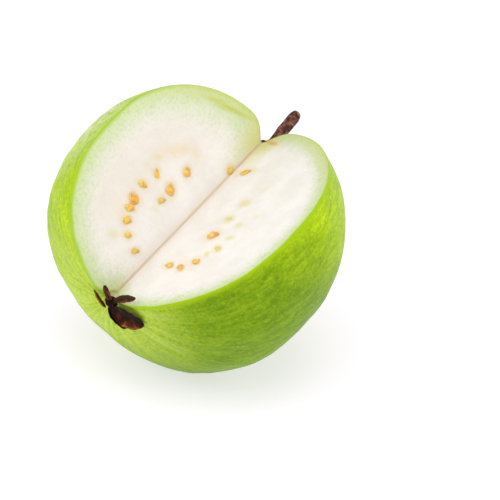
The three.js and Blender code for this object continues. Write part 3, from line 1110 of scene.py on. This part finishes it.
def seed_material():
    """Hard seeds, from amber over yellow to pale where flesh still clings, with brown creases, and painted
    light on their low flanks against the shade of their sockets.
    """
    m = Shader("guava_seed")
    place = m.place()
    tone = m.value("tone")
    base = m.ramp(tone, [
        (0.00, colour(238, 172, 58)),
        (0.25, colour(240, 196, 84)),
        (0.50, colour(230, 194, 92)),
        (0.65, colour(222, 200, 110)),
        (0.85, colour(222, 216, 142)),
        (1.00, colour(228, 226, 168)),
    ])
    fleck = m.noise(place, SEED_FLECK_SIZE, detail=3)
    bare = m.between(tone, 0, 0.8, 1, 0.15)
    base = m.tint(base, m.times(m.between(fleck, 0.50, 0.66), m.times(bare, 0.6)), 252, 226, 140)
    base = m.tint(base, m.times(m.between(fleck, 0.42, 0.30), m.times(bare, 0.8)), 150, 92, 32)
    browned = m.times(m.between(m.value("end"), 0.0, 0.9, 0, 0.8), m.between(fleck, 0.35, 0.60, 0.25, 1))
    base = m.tint(base, browned, 176, 112, 40)
    # Painted light: a seed's low flanks next to the flesh are painted pale against the shade of its socket.
    base = m.tint(base, m.between(m.value("rise"), 0.10, 0.60, 0.75, 0), 244, 226, 158)
    m.set(Base_Color=base, Roughness=0.34, Specular_IOR_Level=0.5)
    m.set(Subsurface_Weight=0.2, Subsurface_Scale=0.001, Subsurface_Radius=(1.0, 0.6, 0.2))
    m.bump(m.noise(place, SEED_GRAIN_SIZE, detail=2), 0.00012, 0.7)
    return m.material


def stem_material():
    """Woody bark: dark red-brown with lighter patches, streaks along its length and fine cracks across."""
    m = Shader("stem_bark")
    place = m.place()
    patches = m.noise(place, BARK_PATCH_SIZE, detail=3)
    lengthwise = m.vector("MULTIPLY", place, (1, 1, 0.4))
    streaks = m.noise(lengthwise, BARK_STREAK_SIZE, detail=4, roughness=0.65)
    crosswise = m.vector("MULTIPLY", place, (0.35, 0.35, 1.8))
    cracks = m.noise(crosswise, BARK_CRACK_SIZE, detail=3)
    fine = m.plus(m.times(streaks, 0.5), m.times(cracks, 0.5))
    m.set(Base_Color=m.ramp(m.plus(m.times(patches, 0.55), m.times(fine, 0.45)), [
        (0.40, colour(46, 22, 18)),
        (0.48, colour(88, 50, 38)),
        (0.55, colour(126, 80, 56)),
        (0.62, colour(186, 138, 98)),
    ]))
    m.set(Roughness=m.between(streaks, 0.3, 0.7, 0.5, 0.75), IOR=1.3, Specular_IOR_Level=0.5)
    m.bump(fine, 0.0004, 0.8)
    return m.material


def calyx_material():
    """Dried sepals: near black to orange-brown, from painted shade to painted light, and one still olive."""
    m = Shader("calyx_dry")
    place = m.place()
    patches = m.noise(place, SEPAL_PATCH_SIZE, detail=4)
    fine = m.noise(place, SEPAL_GRAIN_SIZE, detail=4, roughness=0.65)
    shade = m.value("shade")
    tone = m.plus(m.between(shade, -0.6, 1.0, 0.0, 0.62), m.between(patches, 0.3, 0.7, -0.16, 0.26))
    tone = m.plus(tone, m.between(fine, 0.3, 0.7, -0.16, 0.16))
    base = m.ramp(tone, [
        (0.08, colour(22, 8, 3)),
        (0.34, colour(66, 30, 10)),
        (0.56, colour(106, 56, 26)),
        (0.76, colour(150, 90, 52)),
        (0.94, colour(196, 138, 92)),
    ])
    still_green = m.times(m.value("fresh"), m.times(m.between(shade, 0.0, -0.7), 0.8))
    m.set(Base_Color=m.tint(base, still_green, 176, 148, 44))
    m.set(Roughness=m.between(fine, 0.3, 0.7, 0.6, 0.85), IOR=1.2, Specular_IOR_Level=0.5)
    m.bump(m.plus(fine, patches), 0.0004, 0.8)
    return m.material


def plain_floor():
    """A pale floor that glows, so that it is as white as the studio."""
    low, high = -FLOOR_HALF_SIZE, FLOOR_HALF_SIZE
    corners = [(low, low, 0), (high, low, 0), (high, high, 0), (low, high, 0)]
    floor = add_mesh("floor", corners, [(0, 1, 2, 3)], smooth=False)
    m = Shader("floor_white")
    m.set(Base_Color=FLOOR_COLOUR, Roughness=0.9, Specular_IOR_Level=0.1)
    away = m.measure("LENGTH", m.add("ShaderNodeTexCoord").outputs["Object"])
    m.set(Emission_Color=WHITE, Emission_Strength=m.between(away, *FLOOR_GLOW_FROM_TO, *FLOOR_GLOW))
    floor.data.materials.append(m.material)
    floor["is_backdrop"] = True


def area_light(name, place, size, power):
    """A soft square light that looks at the world's middle."""
    data = bpy.data.lights.new(name, "AREA")
    data.size = size
    data.energy = power
    light = bpy.data.objects.new(name, data)
    light.location = place
    light.rotation_euler = (-Vector(place)).to_track_quat("-Z", "Y").to_euler()
    bpy.context.scene.collection.objects.link(light)


def studio():
    """White all round, dimmer overhead, with the soft lights."""
    world = bpy.data.worlds.new("white_studio")
    world.use_nodes = True
    nodes, links = world.node_tree.nodes, world.node_tree.links
    height = nodes.new("ShaderNodeSeparateXYZ")
    links.new(nodes.new("ShaderNodeTexCoord").outputs["Generated"], height.inputs[0])
    glow = nodes.new("ShaderNodeMapRange")
    ranges = (*WALL_TO_CEILING, *WALL_AND_CEILING)
    for name, value in zip(("From Min", "From Max", "To Min", "To Max"), ranges):
        glow.inputs[name].default_value = value
    links.new(height.outputs["Z"], glow.inputs["Value"])
    links.new(glow.outputs["Result"], nodes["Background"].inputs["Strength"])
    nodes["Background"].inputs["Color"].default_value = WHITE
    bpy.context.scene.world = world
    for light in LIGHTS:
        area_light(*light)
    bpy.context.scene.view_settings.view_transform = "Standard"


def camera():
    """The camera at the photograph's angle, a little off the fruit's centre."""
    data = bpy.data.cameras.new("camera")
    data.sensor_width = SENSOR_WIDTH
    data.lens = LENS
    obj = bpy.data.objects.new("camera", data)
    up, back = math.sin(CAMERA_ELEVATION), math.cos(CAMERA_ELEVATION)
    offset = np.array([
        CAMERA_ASIDE,
        -CAMERA_DISTANCE * back - CAMERA_BELOW * up,
        CAMERA_DISTANCE * up - CAMERA_BELOW * back,
    ])
    obj.location = Vector(CENTRE + offset)
    obj.rotation_euler = (math.pi / 2 - CAMERA_ELEVATION, 0, 0)
    bpy.context.scene.collection.objects.link(obj)
    bpy.context.scene.camera = obj


camera()
studio()
plain_floor()
dress(build_body(), "skin_and_flesh", "fruit", skin_material(), flesh_material())
dress(build_seeds(), "skin_and_flesh", "fruit", seed_material())
dress(build_stem(), "stem_bark", "stem", stem_material())
dress(build_calyx(), "calyx_dry", "calyx", calyx_material())

boxes = {"cad": cad_bounds, "visual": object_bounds()}
{name: [list(map(float, corner)) for corner in box] for name, box in boxes.items()}
